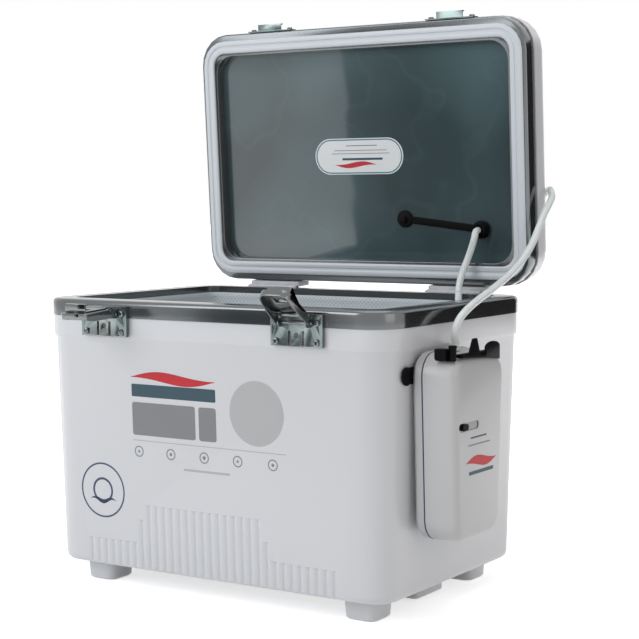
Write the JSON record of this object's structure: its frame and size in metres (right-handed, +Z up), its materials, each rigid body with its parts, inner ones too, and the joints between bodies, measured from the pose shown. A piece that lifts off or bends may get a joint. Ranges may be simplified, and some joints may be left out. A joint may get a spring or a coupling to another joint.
{
  "type": "live bait well",
  "caption": "Insulated live bait well with a hinged latching lid, side-mounted battery aerator pump, air hose and lift-out net liner.",
  "frame": {"origin": "on the floor under the middle of the object's outline, hoses left out", "axes": "+Z up, +X along the front towards the pump's end, front towards -Y"},
  "size_m": [0.5324, 0.483, 0.679],
  "materials": {
    "shell_white": "glossy moulded plastic",
    "liner_white": "glossy moulded plastic",
    "trim_dark": "glossy moulded plastic",
    "foam": "rigid insulating foam",
    "steel": "pressed and brushed",
    "hinge_plastic": "satin moulding",
    "gasket": "soft extruded seal",
    "panel_slate": "glossy sheet",
    "label_white": "printed film",
    "fitting_black": "satin moulding",
    "plug_rubber": "matt rubber",
    "pump_white": "glossy moulded plastic",
    "pump_seal": "dark blue seal",
    "nozzle": "satin moulding",
    "cell": "printed can",
    "contact": "bare strip",
    "hose_clear": "clear soft tube",
    "stone": "sintered grit",
    "net_white": "knotted mesh"
  },
  "bodies": {
    "box": {"outer_shell": "shell_white", "foot_front_left": "shell_white", "foot_front_right": "shell_white", "foot_back_left": "shell_white", "foot_back_right": "shell_white", "base_pad_left": "shell_white", "base_pad_right": "shell_white", "inner_liner": "liner_white", "foam_core": "foam", "rim_frame": "trim_dark", "latch_base_right": "steel", "latch_lever_pin_right": "steel", "hinge_pin_right": "steel", "hinge_base_right": "hinge_plastic", "latch_base_left": "steel", "latch_lever_pin_left": "steel", "hinge_pin_left": "steel", "hinge_base_left": "hinge_plastic", "pump_hanger": "fitting_black", "pump_back_case": "pump_white", "pump_front_case": "pump_white", "pump_seal": "pump_seal", "pump_switch_plate": "trim_dark", "pump_catch": "fitting_black", "pump_plug": "fitting_black", "pump_clip": "fitting_black", "pump_nozzle": "nozzle", "pump_motor": "steel", "pump_diaphragm": "fitting_black", "pump_contact_low": "contact", "pump_contact_high": "contact", "pump_cell_tray": "fitting_black", "pump_cell_1": "cell", "pump_cell_2": "cell", "air_hose_outer": "hose_clear"},
    "lid": {"hinge_leaf_right": "hinge_plastic", "hinge_leaf_left": "hinge_plastic", "keeper_right": "steel", "keeper_left": "steel", "lid_frame": "trim_dark", "lid_shell": "shell_white", "lid_panel": "panel_slate", "lid_foam": "foam", "lid_gasket": "gasket", "lid_label": "label_white", "hose_port": "fitting_black", "port_plug": "plug_rubber", "air_hose_lid": "hose_clear", "air_hose_upper": "hose_clear"},
    "net": {"net_ring": "liner_white", "net_bag": "net_white", "air_stone": "stone", "air_hose_lower": "hose_clear"},
    "switch": {"pump_switch": "fitting_black"},
    "lever_right": {"latch_lever_right": "steel", "latch_hook_pin_right": "steel"},
    "hook_right": {"latch_hook_right": "steel"},
    "lever_left": {"latch_lever_left": "steel", "latch_hook_pin_left": "steel"},
    "hook_left": {"latch_hook_left": "steel"}
  },
  "joints": [
    {"name": "lid_hinge", "type": "hinge", "parent": "box", "child": "lid", "pos_m": [-0.0262, 0.17059, 0.3366], "axis": [1, 0, 0], "range_deg": [0, 86.36], "deforming": ["air_hose_outer", "air_hose_lid", "air_hose_upper"]},
    {"name": "latch_lever_right_pivot", "type": "hinge", "parent": "box", "child": "lever_right", "pos_m": [0.1038, -0.17651, 0.323], "axis": [1, 0, 0], "range_deg": [0, 128]},
    {"name": "latch_hook_right_pivot", "type": "hinge", "parent": "lever_right", "child": "hook_right", "pos_m": [0.1038, -0.17941, 0.33212], "axis": [1, 0, 0], "range_deg": [-185, 0]},
    {"name": "latch_lever_left_pivot", "type": "hinge", "parent": "box", "child": "lever_left", "pos_m": [-0.1612, -0.17651, 0.323], "axis": [1, 0, 0], "range_deg": [0, 87]},
    {"name": "latch_hook_left_pivot", "type": "hinge", "parent": "lever_left", "child": "hook_left", "pos_m": [-0.1612, -0.18468, 0.32798], "axis": [1, 0, 0], "range_deg": [-185, 0]},
    {"name": "pump_switch_slide", "type": "slide", "parent": "box", "child": "switch", "axis": [0, 1, 0], "range_m": [0, 0.022]},
    {"name": "net_lift", "type": "slide", "parent": "box", "child": "net", "axis": [0, 0, -1], "range_m": [-0.33, 0], "deforming": ["air_hose_upper", "air_hose_lower"]}
  ],
  "couplings": [
    {"joint": "latch_hook_right_pivot", "follows": "latch_lever_right_pivot", "ratio": -1.4453},
    {"joint": "latch_hook_left_pivot", "follows": "latch_lever_left_pivot", "ratio": -2.1264}
  ]
}
